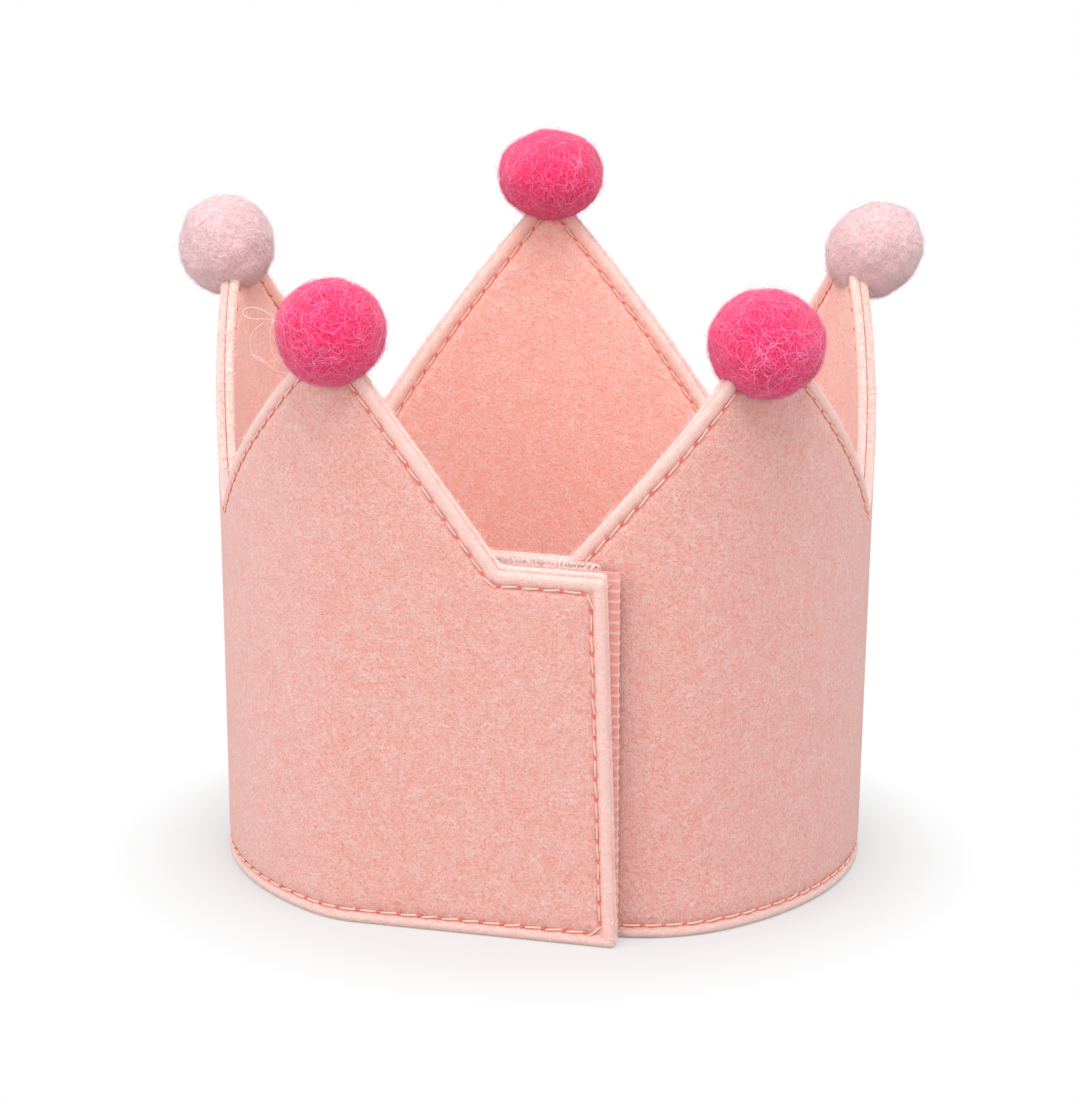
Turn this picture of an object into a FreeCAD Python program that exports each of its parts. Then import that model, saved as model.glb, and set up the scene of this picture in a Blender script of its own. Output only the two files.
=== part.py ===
import FreeCAD, Part
import math
import os

import Sketcher
from FreeCAD import Vector

Vector2d = FreeCAD.Base.Vector2d

# A child's felt crown. Two layers of craft felt are cut to one flat pattern with
# five points, sewn together round their edge, and bent into an open ring that
# closes at the front with a hook tape on a loop tape. A wool felt ball is slit
# and pushed over each point.
#
# Frame: the origin is on the table under the middle of the crown's overall box,
# +Z is up and the closure faces -Y. Lengths are millimetres.

doc = FreeCAD.newDocument("felt_crown")
sheet = doc.addObject("Spreadsheet::Sheet", "sizes")

SIZES = [
    ("ring_radius", 58.0, "outer face of the ring at the table"),
    ("felt_layer", 1.6, "thickness of one layer of felt"),
    ("flare_angle", 1.03, "degrees by which the wall leans out all round"),
    ("right_tip_lean", 0.8, "further lean of the right point at its tip"),
    ("left_tip_lean", 3.0, "further lean of the left point at its tip"),
    ("right_bend_start", 36.0, "degrees round from the front where the ring tightens"),
    ("right_bend_radius", 28.0, "tighter bend beside the under tab"),
    ("left_bend_radius", 17.0, "tighter bend where the flap goes straight"),
    ("closure_slant", 14.0, "degrees between the straight closure and the X axis"),
    ("under_run", 5.8, "straight run from the first valley to the bend"),
    ("under_tab_length", 19.4, "flat tab before the first point"),
    ("under_tab_height", 69.0, "top of the under tab"),
    ("flap_length", 19.1, "flat tab after the last point, at its top"),
    ("flap_drop", 1.6, "by which the flap's outer layer stands below the under tab"),
    ("lining_rise", 0.7, "by which the lining stands above the outer layer there"),
    ("end_slant", 2.2, "extra length of the flap at its bottom corner"),
    ("valley_height", 68.0, "bottom of the four valleys between the points"),
    ("felt_run", 349.2, "along the felt from the under tab to the flap"),
    ("under_reach", 35.5, "from the under tab to the first tip"),
    ("flap_reach", 30.5, "from the last tip to the flap"),
    ("outer_reach", 41.0, "from each front tip back to its side valley"),
    ("tip_round", 3.0, "radius of each tip, inside its ball"),
    ("wall_spare", 10.0, "by which the bent wall is drawn above the highest tip"),
    ("front_right_tip", 109.0, "top of the felt in each ball"),
    ("right_tip", 109.0, "top of the felt"),
    ("back_tip", 109.6, "top of the felt"),
    ("left_tip", 109.0, "top of the felt"),
    ("front_left_tip", 106.6, "top of the felt"),
    ("tape_width", 19.0, "hook tape and loop tape"),
    ("hook_setback", 0.3, "from the flap's bottom corner back to the hook tape's end"),
    ("tape_margin", 1.0, "felt left bare below and above the tapes"),
    ("hook_base", 0.6, "thickness of the hook tape's band"),
    ("hook_rise", 0.6, "height of the moulded rows of hooks"),
    ("hook_row", 0.8, "width of one row of hooks"),
    ("hook_pitch", 1.9, "from row to row"),
    ("loop_pile", 1.0, "thickness of the loop tape with its pile"),
    ("closure_play", 0.1, "between the rows of hooks and the pile"),
    ("front_right_ball_rise", -2.6, "from the tip of the felt up to the ball's middle"),
    ("front_right_ball_proud", 0.6, "from the middle of the felt out to the ball's middle"),
    ("front_right_ball_width", 20.5, "across the ball"),
    ("front_right_ball_height", 19.1, "along the ball's own axis"),
    ("right_ball_rise", -0.9, "up to the ball's middle"),
    ("right_ball_proud", 4.1, "out to the ball's middle"),
    ("right_ball_width", 17.2, "across"),
    ("right_ball_height", 19.0, "along its axis"),
    ("right_ball_turn", 32.0, "degrees by which its axis leans in the wall"),
    ("back_ball_rise", 4.0, "up to the ball's middle"),
    ("back_ball_width", 20.0, "across"),
    ("back_ball_height", 16.9, "along its axis"),
    ("left_ball_rise", -1.3, "up to the ball's middle"),
    ("left_ball_proud", 2.8, "out to the ball's middle"),
    ("left_ball_width", 17.4, "across"),
    ("left_ball_height", 18.4, "along its axis"),
    ("left_ball_turn", -8.0, "degrees by which its axis leans in the wall"),
    ("front_left_ball_rise", 1.0, "up to the ball's middle"),
    ("front_left_ball_width", 19.3, "across"),
    ("front_left_ball_height", 18.8, "along its axis"),
]
for row, (alias, value, meaning) in enumerate(SIZES, start=1):
    sheet.set("A%d" % row, alias)
    sheet.set("B%d" % row, repr(value))
    sheet.set("C%d" % row, meaning)
    sheet.setAlias("B%d" % row, alias)
doc.recompute()


def size(alias):
    """A size from the sheet, as a plain number."""
    return float(sheet.get(alias))


# The path of the outer face on the table, seen from above. It is measured by
# its length from the under tab's free end: a straight run under the flap, a
# bend, the round of the ring, a second bend and the straight flap.

def facing(angle):
    """The direction that looks outward, at an angle round from the front."""
    return Vector(math.sin(angle), -math.cos(angle), 0)


def along(angle):
    """The direction of travel round the ring at that angle."""
    return Vector(math.cos(angle), math.sin(angle), 0)


def ring_path():
    """The pieces of the path: (kind, start point or centre, radius, angles, length)."""
    radius = size("ring_radius")
    slant = math.radians(size("closure_slant"))
    right_start = math.radians(size("right_bend_start"))
    right_bend = size("right_bend_radius")
    left_bend = size("left_bend_radius")
    right_centre = facing(right_start) * (radius - right_bend)
    under_distance = right_centre.dot(facing(-slant)) + right_bend
    flap_distance = under_distance + closure_stack()
    # The left bend starts where the flap comes to lie that far out.
    turn = math.acos((flap_distance - left_bend) / (radius - left_bend))
    left_start = 2 * math.pi - slant - turn
    left_centre = facing(left_start) * (radius - left_bend)
    slant_end = 2 * math.pi - slant
    under_start = right_centre + facing(-slant) * right_bend
    run_before = size("under_run") + size("under_tab_length") + PATH_SPARE
    return [
        ("line", under_start - along(-slant) * run_before, 0, -slant, -slant, run_before),
        ("arc", right_centre, right_bend, -slant, right_start, None),
        ("arc", Vector(), radius, right_start, left_start, None),
        ("arc", left_centre, left_bend, left_start, slant_end, None),
        ("line", left_centre + facing(slant_end) * left_bend, 0, slant_end, slant_end, FLAP_RUN),
    ]


def closure_stack():
    """From the outer face of the under tab to the outer face of the flap."""
    between = ("loop_pile", "closure_play", "hook_rise", "hook_base")
    return 2 * size("felt_layer") + sum(size(name) for name in between)


PATH_SPARE = 4.0     # path kept beyond the under tab's end
FLAP_RUN = 60.0      # straight run on which the flap lies
SAMPLE_STEP = 4.0   # longest distance between the points that the wall's curves pass through


def piece_length(piece):
    """The length of one piece of the path."""
    kind, place, radius, first, last, run = piece
    return run if kind == "line" else radius * (last - first)


def path_length(number):
    """From the under tab's end to the start of that piece of the path."""
    return sum(piece_length(piece) for piece in ring_path()[:number]) - PATH_SPARE


def path_samples():
    """Points along the path: (length from the under tab's end, point, angle)."""
    samples = []
    travelled = -PATH_SPARE
    for piece in ring_path():
        kind, place, radius, first, last, run = piece
        length = piece_length(piece)
        steps = max(2, math.ceil(length / SAMPLE_STEP))
        for step in range(steps + (kind == "line" and first > 0)):
            share = step / steps
            angle = first + (last - first) * share
            if kind == "line":
                point = place + along(angle) * (length * share)
            else:
                point = place + facing(angle) * radius
            samples.append((travelled + length * share, point, angle))
        travelled += length
    return samples


def tip_pitch():
    """From tip to tip along the felt: the five tips are evenly spaced."""
    return (size("felt_run") - size("under_reach") - size("flap_reach")) / 4


def tip_positions():
    """Where the five tips stand along the felt."""
    first = size("under_tab_length") + size("under_reach")
    return [first + tip_pitch() * number for number in range(5)]


def side_lean(position):
    """How far the top of the wall leans out there: full at the two side tips."""
    lean = 0.0
    tips = tip_positions()
    for tip, full_lean in ((tips[1], size("right_tip_lean")), (tips[3], size("left_tip_lean"))):
        distance = abs(position - tip) / (tip_pitch() / 2)
        if distance < 1:
            lean += full_lean * (1 + math.cos(math.pi * distance)) / 2
    return lean


SAMPLES = path_samples()
LEAN_STEP = 0.1      # step over which the change of lean is read
TIPS = ("front_right", "right", "back", "left", "front_left")
WALL_TOP = max(size(name + "_tip") for name in TIPS) + size("wall_spare")


def wall_surface(inset):
    """The felt's face that lies this far inside the outer face.

    Its own coordinates are the flat pattern's: the length along the felt and
    the height. The wall leans out by the flare, and bends out further at the
    two side points.
    """
    flare = math.tan(math.radians(size("flare_angle")))
    lengths = [length for length, point, angle in SAMPLES]
    rows = []
    for share in (0.0, 0.5, 1.0):
        points = []
        for length, point, angle in SAMPLES:
            out = flare * WALL_TOP * share - inset
            if share == 1.0:
                out += side_lean(length)
            points.append(point + facing(angle) * out + Vector(0, 0, WALL_TOP * share))
        rows.append(row_of_poles(points, share == 1.0))
    poles = [list(column) for column in zip(*rows)]
    times = [4] + [2] * (len(lengths) - 2) + [4]
    surface = Part.BSplineSurface()
    surface.buildFromPolesMultsKnots(poles, times, [3, 3], lengths, [0.0, WALL_TOP],
                                     False, False, 3, 2)
    return surface


def row_of_poles(points, at_top):
    """The poles of one curve round the wall that passes through these points.

    It leaves each point along the wall, so straight runs stay straight and the
    bends stay round.
    """
    speeds = []
    for (length, point, angle), (next_length, next_point, next_angle), start, end in zip(
            SAMPLES, SAMPLES[1:], points, points[1:]):
        half_turn = (next_angle - angle) / 2
        arc_over_chord = half_turn / math.sin(half_turn) if half_turn else 1.0
        speeds.append((end - start).Length * arc_over_chord / (next_length - length))
    poles = [points[0]]
    for number, (length, point, angle) in enumerate(SAMPLES):
        heading = along(angle)
        if at_top:
            lean_change = side_lean(length + LEAN_STEP) - side_lean(length - LEAN_STEP)
            heading += facing(angle) * (lean_change / (2 * LEAN_STEP))
        speed = sum(speeds[max(number - 1, 0):number + 1])
        speed /= len(speeds[max(number - 1, 0):number + 1])
        heading = heading.normalize() * speed
        if number > 0:
            poles.append(points[number] - heading * ((length - SAMPLES[number - 1][0]) / 3))
        if number < len(SAMPLES) - 1:
            poles.append(points[number] + heading * ((SAMPLES[number + 1][0] - length) / 3))
    return poles + [points[-1]]


def wrap(sketch, outer_inset, inner_inset):
    """The solid that a flat outline makes between two faces of the wall.

    Each face is the outline drawn in that face's own coordinates, and the cut
    edges are ruled straight from one face to the other.
    """
    outer = wall_surface(outer_inset)
    inner = wall_surface(inner_inset)
    loops = []
    for surface in (outer, inner):
        edges = []
        for geometry in sketch.Geometry:
            edges.append(flat_curve(geometry).toShape(surface))
        loops.append(edges)
    faces = [Part.Face(surface, Part.Wire(edges)) for surface, edges in zip((outer, inner), loops)]
    for geometry, outer_edge, inner_edge in zip(sketch.Geometry, *loops):
        on_table = geometry.StartPoint.y == 0 and geometry.EndPoint.y == 0
        if on_table:
            faces.append(flat_cut(outer_edge, inner_edge))
        else:
            faces.append(Part.makeRuledSurface(outer_edge, inner_edge))
    shell = Part.Shell(faces)
    shell.sewShape()
    solid = Part.Solid(shell)
    solid.fix(1e-5, 1e-5, 1e-4)
    if solid.Volume < 0:
        solid.reverse()
    return solid


def flat_cut(outer_edge, inner_edge):
    """The cut edge that the felt stands on, one flat face."""
    start, end = [Part.makeLine(outer_edge.valueAt(place), inner_edge.valueAt(place))
                  for place in (outer_edge.FirstParameter, outer_edge.LastParameter)]
    return Part.Face(Part.Wire([outer_edge, end, inner_edge, start]))


def flat_curve(geometry):
    """A sketch's line or arc as a curve in the wall's own coordinates."""
    if isinstance(geometry, Part.LineSegment):
        return Part.Geom2d.Line2dSegment(Vector2d(geometry.StartPoint.x, geometry.StartPoint.y),
                                         Vector2d(geometry.EndPoint.x, geometry.EndPoint.y))
    middle = geometry.value((geometry.FirstParameter + geometry.LastParameter) / 2)
    ends = geometry.StartPoint, middle, geometry.EndPoint
    return Part.Geom2d.ArcOfCircle2d(*[Vector2d(point.x, point.y) for point in ends])


# The flat patterns, drawn as they lie on the cutting table: X is the length
# along the felt and Y the height.

EVEN_PITCH = "((sizes.felt_run - sizes.under_reach - sizes.flap_reach) / 4)"
FIRST_TIP = "sizes.under_tab_length + sizes.under_reach"
TIP = [FIRST_TIP + " + %d * %s" % (number, EVEN_PITCH) for number in range(5)]
FLAP_START = "sizes.under_tab_length + sizes.felt_run"


def felt_outline(flap_top):
    """The corners and tips of one layer, from the under tab to the flap."""
    return [
        ("corner", "0", "0"),
        ("corner", "0", "sizes.under_tab_height"),
        ("corner", "sizes.under_tab_length", "sizes.under_tab_height"),
        ("tip", TIP[0], "sizes.front_right_tip"),
        ("corner", TIP[0] + " + sizes.outer_reach", "sizes.valley_height"),
        ("tip", TIP[1], "sizes.right_tip"),
        ("corner", FIRST_TIP + " + 1.5 * " + EVEN_PITCH, "sizes.valley_height"),
        ("tip", TIP[2], "sizes.back_tip"),
        ("corner", FIRST_TIP + " + 2.5 * " + EVEN_PITCH, "sizes.valley_height"),
        ("tip", TIP[3], "sizes.left_tip"),
        ("corner", TIP[4] + " - sizes.outer_reach", "sizes.valley_height"),
        ("tip", TIP[4], "sizes.front_left_tip"),
        ("corner", FLAP_START, flap_top),
        ("corner", FLAP_START + " + sizes.flap_length", flap_top),
        ("corner", FLAP_START + " + sizes.flap_length + sizes.end_slant", "0"),
    ]


def tangent_point(corner, centre, radius, side):
    """Where the line from a corner touches a tip's round, on one side of it."""
    reach = centre - corner
    turn = math.asin(radius / reach.Length)
    heading = math.atan2(reach.y, reach.x) + side * turn
    run = math.sqrt(reach.Length ** 2 - radius ** 2)
    return corner + Vector(math.cos(heading), math.sin(heading), 0) * run


def pattern(label, outline):
    """A closed sketch of straight cuts, with a round at each tip."""
    sketch = doc.addObject("Sketcher::SketchObject", label)
    radius = size("tip_round")
    places = []
    for kind, across, up in outline:
        place = Vector(sketch.evalExpression(across), sketch.evalExpression(up), 0)
        places.append(place - Vector(0, radius, 0) if kind == "tip" else place)

    def end_of_cut(number, neighbour, side):
        if outline[number][0] == "corner":
            return places[number]
        return tangent_point(places[neighbour], places[number], radius, side)

    cuts = []
    rounds = {}
    count = len(outline)
    for number in range(count):
        following = (number + 1) % count
        start = end_of_cut(number, following, -1)
        end = end_of_cut(following, number, 1)
        if outline[number][0] == "tip":
            before = end_of_cut(number, number - 1, 1)
            arc = Part.Arc(before, places[number] + Vector(0, radius, 0), start)
            rounds[number] = sketch.addGeometry(arc, False)
        cuts.append(sketch.addGeometry(Part.LineSegment(start, end), False))

    def bind(constraint, expression):
        index = sketch.addConstraint(constraint)
        if expression != "0":
            sketch.setExpression("Constraints[%d]" % index, expression)

    for number, (kind, across, up) in enumerate(outline):
        place = places[number]
        if kind == "tip":
            arc = rounds[number]
            sketch.addConstraint(Sketcher.Constraint("Tangent", cuts[number - 1], 2, arc, 2))
            sketch.addConstraint(Sketcher.Constraint("Tangent", arc, 1, cuts[number], 1))
            bind(Sketcher.Constraint("Radius", arc, radius), "sizes.tip_round")
            bind(Sketcher.Constraint("DistanceX", -1, 1, arc, 3, place.x), across)
            bind(Sketcher.Constraint("DistanceY", -1, 1, arc, 3, place.y),
                 up + " - sizes.tip_round")
        else:
            sketch.addConstraint(Sketcher.Constraint("Coincident", cuts[number - 1], 2,
                                                     cuts[number], 1))
            bind(Sketcher.Constraint("DistanceX", -1, 1, cuts[number], 1, place.x), across)
            bind(Sketcher.Constraint("DistanceY", -1, 1, cuts[number], 1, place.y), up)
    return sketch


FLAP_TOP = "(sizes.under_tab_height - sizes.flap_drop)"
outer_pattern = pattern("outer_felt_pattern", felt_outline(FLAP_TOP))
lining_pattern = pattern("lining_pattern", felt_outline(FLAP_TOP + " + sizes.lining_rise"))
doc.recompute()


def wrapped(label, sketch, outer_inset, inner_inset):
    """One layer of the wall, as a piece of the document."""
    piece = doc.addObject("Part::Feature", label)
    piece.Shape = wrap(sketch, outer_inset, inner_inset)
    return piece


layer = size("felt_layer")
outer_felt = wrapped("outer_felt", outer_pattern, 0, layer)
inner_felt = wrapped("inner_felt", lining_pattern, layer, 2 * layer)

# The room that both layers take together is what the balls' slits are cut to.
felt_room = wrapped("felt_room", lining_pattern, 0, 2 * layer)


# The closure tapes are flat bands on the straight run of the wall. Each lies in
# its own plane, X along the felt, Y up the wall and Z outward.

def body_on_wall(label, run, distance, inset):
    """A body whose own XY plane lies on one face of a straight run of the path."""
    kind, start, radius, slant, end, length = ring_path()[run]
    flare = math.radians(size("flare_angle"))
    x_axis = along(slant)
    y_axis = facing(slant) * math.sin(flare) + Vector(0, 0, math.cos(flare))
    height = size("tape_margin")
    corner = start + x_axis * distance - facing(slant) * inset
    corner += facing(slant) * (height * math.tan(flare)) + Vector(0, 0, height)
    body = doc.addObject("PartDesign::Body", label)
    turn = FreeCAD.Rotation(x_axis, y_axis, x_axis.cross(y_axis), "XYZ")
    body.Placement = FreeCAD.Placement(corner, turn)
    return body


def plane_of(body, role):
    """One of a body's own origin planes or axes."""
    return [feature for feature in body.Origin.OriginFeatures if feature.Role == role][0]


AT_CORNER = "0"


def band_sketch(body, name, left, right, bottom, top):
    """A rectangle on the body's XY plane, its four sides given by expressions.

    Every side is stated by its distance from the body's lower right corner.
    """
    sketch = body.newObject("Sketcher::SketchObject", name)
    sketch.AttachmentSupport = [(plane_of(body, "XY_Plane"), "")]
    sketch.MapMode = "FlatFace"
    x_left, x_right, y_bottom, y_top = [sketch.evalExpression(side)
                                        for side in (left, right, bottom, top)]
    corners = [Vector(x_left, y_bottom, 0), Vector(x_right, y_bottom, 0),
               Vector(x_right, y_top, 0), Vector(x_left, y_top, 0)]
    for number in range(4):
        sketch.addGeometry(Part.LineSegment(corners[number], corners[(number + 1) % 4]), False)
    for number in range(4):
        sketch.addConstraint(Sketcher.Constraint("Coincident", number, 2, (number + 1) % 4, 1))
    for side in (0, 2):
        sketch.addConstraint(Sketcher.Constraint("Horizontal", side))
    for side in (1, 3):
        sketch.addConstraint(Sketcher.Constraint("Vertical", side))
    for kind, corner, distance, expression in (
            ("DistanceX", 0, x_left, left), ("DistanceX", 2, x_right, right),
            ("DistanceY", 0, y_bottom, bottom), ("DistanceY", 2, y_top, top)):
        index = sketch.addConstraint(Sketcher.Constraint(kind, -1, 1, corner, 1, distance))
        if expression != AT_CORNER:
            sketch.setExpression("Constraints[%d]" % index, expression)
    return sketch


def pad(body, sketch, name, thickness, inward):
    """The band given its thickness, outward or inward from the body's plane."""
    feature = body.newObject("PartDesign::Pad", name)
    feature.Profile = sketch
    feature.Reversed = inward
    feature.setExpression("Length", thickness)
    return feature


UNDER_STRAIGHT, FLAP_STRAIGHT = 0, 4
under_path = ring_path()[UNDER_STRAIGHT]
loop_tape = body_on_wall("loop_tape", UNDER_STRAIGHT, under_path[-1], 0)
loop_band = band_sketch(loop_tape, "loop_band", "-sizes.tape_width", AT_CORNER, AT_CORNER,
                        "sizes.under_tab_height - 2 * sizes.tape_margin")
pad(loop_tape, loop_band, "loop_pile", "sizes.loop_pile", False)

RUNS = ("under_tab_length", "felt_run", "flap_length", "end_slant")
felt_end = sum(size(name) for name in RUNS)
flap_corner = felt_end - size("hook_setback") - path_length(FLAP_STRAIGHT)
hook_tape = body_on_wall("hook_tape", FLAP_STRAIGHT, flap_corner, 2 * layer)
TAPE_HEIGHT = "(%s + sizes.lining_rise - sizes.tape_margin)" % FLAP_TOP
hook_band = band_sketch(hook_tape, "hook_band", "-sizes.tape_width", AT_CORNER, AT_CORNER,
                        TAPE_HEIGHT)
pad(hook_tape, hook_band, "hook_base", "sizes.hook_base", True)
first_row = band_sketch(hook_tape, "first_row", "-sizes.tape_width", AT_CORNER,
                        "(sizes.hook_pitch - sizes.hook_row) / 2",
                        "(sizes.hook_pitch + sizes.hook_row) / 2")
row_of_hooks = pad(hook_tape, first_row, "row_of_hooks", "sizes.hook_base + sizes.hook_rise", True)
doc.recompute()

hook_rows = hook_tape.newObject("PartDesign::LinearPattern", "hook_rows")
hook_rows.Originals = [row_of_hooks]
hook_rows.Direction = (first_row, ["V_Axis"])
hook_rows.setExpression("Occurrences", "floor(%s / sizes.hook_pitch)" % TAPE_HEIGHT)
hook_rows.setExpression("Length",
                        "(floor(%s / sizes.hook_pitch) - 1) * sizes.hook_pitch" % TAPE_HEIGHT)
hook_tape.Tip = hook_rows
doc.recompute()


# The balls: each is slit from below to the shape of the felt tip that fills it.

def ball(tip_name, position, proud, turn):
    """A squashed ball of wool on the tip that stands at this length."""
    prefix = tip_name + "_ball_"
    whole = doc.addObject("Part::Ellipsoid", "whole_ball_" + tip_name)
    whole.setExpression("Radius1", "sizes.%sheight / 2" % prefix)
    whole.setExpression("Radius2", "sizes.%swidth / 2" % prefix)
    whole.setExpression("Radius3", "sizes.%swidth / 2" % prefix)
    middle = wall_surface(layer)
    height = size(tip_name + "_tip") + size(prefix + "rise")
    x_axis = middle.value(position + 1, height) - middle.value(position - 1, height)
    outward = x_axis.cross(Vector(0, 0, 1)).normalize()
    upright = FreeCAD.Rotation(x_axis, outward.negative(), Vector(0, 0, 1), "ZXY")
    place = middle.value(position, height) + outward * proud
    whole.Placement = FreeCAD.Placement(place, FreeCAD.Rotation(outward, turn).multiply(upright))
    slit = doc.addObject("Part::Cut", "ball_" + tip_name)
    slit.Base = whole
    slit.Tool = felt_room
    return slit


tip_at = dict(zip(TIPS, tip_positions()))
balls = [
    ball("front_right", tip_at["front_right"], size("front_right_ball_proud"), 0),
    ball("right", tip_at["right"], size("right_ball_proud"), size("right_ball_turn")),
    ball("back", tip_at["back"], 0, 0),
    ball("left", tip_at["left"], size("left_ball_proud"), size("left_ball_turn")),
    ball("front_left", tip_at["front_left"], 0, 0),
]
doc.recompute()

NODES = [outer_felt, inner_felt, hook_tape, loop_tape] + balls

# The whole crown is moved so that the middle of its box is over the origin.
whole_box = Part.makeCompound([node.Shape for node in NODES]).optimalBoundingBox()
to_origin = Vector(-whole_box.Center.x, -whole_box.Center.y, 0)
for node in NODES:
    node.Placement = FreeCAD.Placement(to_origin, FreeCAD.Rotation()).multiply(node.Placement)
print("moved to the origin by", to_origin)
doc.recompute()

for made in doc.Objects:
    if "Invalid" in made.State or "Error" in made.State:
        raise RuntimeError("not built: " + made.Label)
os.makedirs("parts", exist_ok=True)
for node in NODES:
    shape = node.Shape
    if shape.isNull() or not shape.isValid():
        raise RuntimeError("not valid: " + node.Label)
    print("%-18s solids %d  faces %3d  volume %9.1f mm3  z %.1f to %.1f" % (
        node.Label, len(shape.Solids), len(shape.Faces), shape.Volume,
        shape.optimalBoundingBox().ZMin, shape.optimalBoundingBox().ZMax))
    shape.exportStep("parts/%s.step" % node.Label)
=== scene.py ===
# %% [markdown]
# # A child's felt crown
#
# The crown is two layers of pink craft felt, cut to one flat pattern with five points,
# topstitched together all round their edge and bent into an open ring. It closes at
# the front with a clear hook tape on a loop tape, and a ball of felted wool sits on
# every point.
#
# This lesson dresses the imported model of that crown. The frame gives the real places
# and sizes, and each step below makes one piece or one finish.

import math
from functools import partial

import bmesh
import bpy
import numpy as np
from mathutils import Matrix, Vector, noise
from mathutils.geometry import delaunay_2d_cdt


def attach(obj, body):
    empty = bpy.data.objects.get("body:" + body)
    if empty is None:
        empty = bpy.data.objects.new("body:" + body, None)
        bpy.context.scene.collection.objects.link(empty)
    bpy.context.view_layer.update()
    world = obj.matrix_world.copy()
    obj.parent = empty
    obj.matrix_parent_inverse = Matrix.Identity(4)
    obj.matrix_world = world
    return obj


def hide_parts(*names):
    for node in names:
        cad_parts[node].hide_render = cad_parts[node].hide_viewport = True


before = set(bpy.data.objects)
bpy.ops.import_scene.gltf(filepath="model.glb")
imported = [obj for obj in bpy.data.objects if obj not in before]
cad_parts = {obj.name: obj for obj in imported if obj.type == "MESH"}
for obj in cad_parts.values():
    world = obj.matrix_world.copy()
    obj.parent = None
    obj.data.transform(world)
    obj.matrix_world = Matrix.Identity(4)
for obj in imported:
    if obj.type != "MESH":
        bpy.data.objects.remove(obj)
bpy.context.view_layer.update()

# %% [markdown]
# ## The sizes
#
# All lengths are in millimetres, as a pattern cutter would write them, and are turned
# into metres only when a mesh is made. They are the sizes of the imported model.

# %% Sizes of the ring and the flat pattern
MM = 0.001
RING_RADIUS = 58.0
LAYER = 1.6
FLARE = math.tan(math.radians(1.03))
RIGHT_LEAN, LEFT_LEAN = 0.8, 3.0
WALL_TOP = 119.6
RIGHT_BEND_START = math.radians(36.0)
RIGHT_BEND = 28.0
LEFT_BEND = 17.0
SLANT = math.radians(14.0)
UNDER_RUN = 5.8
UNDER_TAB = 19.4
UNDER_TOP = 69.0
FLAP = 19.1
FLAP_TOP = 67.4
LINING_RISE = 0.7
END_SLANT = 2.2
VALLEY = 68.0
FELT_RUN = 349.2
UNDER_REACH = 35.5
FLAP_REACH = 30.5
OUTER_REACH = 41.0
TIP_ROUND = 3.0
TIP_TOPS = [109.0, 109.0, 109.6, 109.0, 106.6]
LOOP_PILE, CLOSURE_PLAY, HOOK_RISE, HOOK_BASE = 1.0, 0.1, 0.6, 0.6
CLOSURE = 2 * LAYER + LOOP_PILE + CLOSURE_PLAY + HOOK_RISE + HOOK_BASE
HOOK_SETBACK = 0.3
HOOK_PITCH = 1.9
TAPE_WIDTH = 19.0
SEAM_INSET = 2.5
STITCH = 3.8
FLAP_RUN_OUT = 60.0
RING_MIDDLE = np.array([0.6650, -4.9781, 0.0])

pitch = (FELT_RUN - UNDER_REACH - FLAP_REACH) / 4
tips = [UNDER_TAB + UNDER_REACH + pitch * number for number in range(5)]
print("tips along the felt:", [round(tip, 1) for tip in tips])

# %% [markdown]
# ## Bending the flat felt into a ring
#
# A real crown is cut flat and then bent, so every piece here is drawn flat too: its
# points are a length along the felt, a height, and a depth below the outer face. One
# function bends them onto the ring. Seams, tapes and fuzz drawn on the flat pattern
# then follow the felt by themselves, which is why this beats modelling the bent form.

# %% The path of the ring on the table
def outward(angle):
    return np.array([math.sin(angle), -math.cos(angle)])


def onward(angle):
    return np.array([math.cos(angle), math.sin(angle)])


def ring_path():
    right_centre = outward(RIGHT_BEND_START) * (RING_RADIUS - RIGHT_BEND)
    flap_distance = right_centre @ outward(-SLANT) + RIGHT_BEND + CLOSURE
    turn = math.acos((flap_distance - LEFT_BEND) / (RING_RADIUS - LEFT_BEND))
    left_start = 2 * math.pi - SLANT - turn
    left_centre = outward(left_start) * (RING_RADIUS - LEFT_BEND)
    slant_end = 2 * math.pi - SLANT
    run = UNDER_RUN + UNDER_TAB
    under = right_centre + outward(-SLANT) * RIGHT_BEND - onward(-SLANT) * run
    flap = left_centre + outward(slant_end) * LEFT_BEND
    return [("straight", under, 0.0, -SLANT, -SLANT, run),
            ("bend", right_centre, RIGHT_BEND, -SLANT, RIGHT_BEND_START, 0.0),
            ("bend", np.zeros(2), RING_RADIUS, RIGHT_BEND_START, left_start, 0.0),
            ("bend", left_centre, LEFT_BEND, left_start, slant_end, 0.0),
            ("straight", flap, 0.0, slant_end, slant_end, FLAP_RUN_OUT)]


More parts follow.
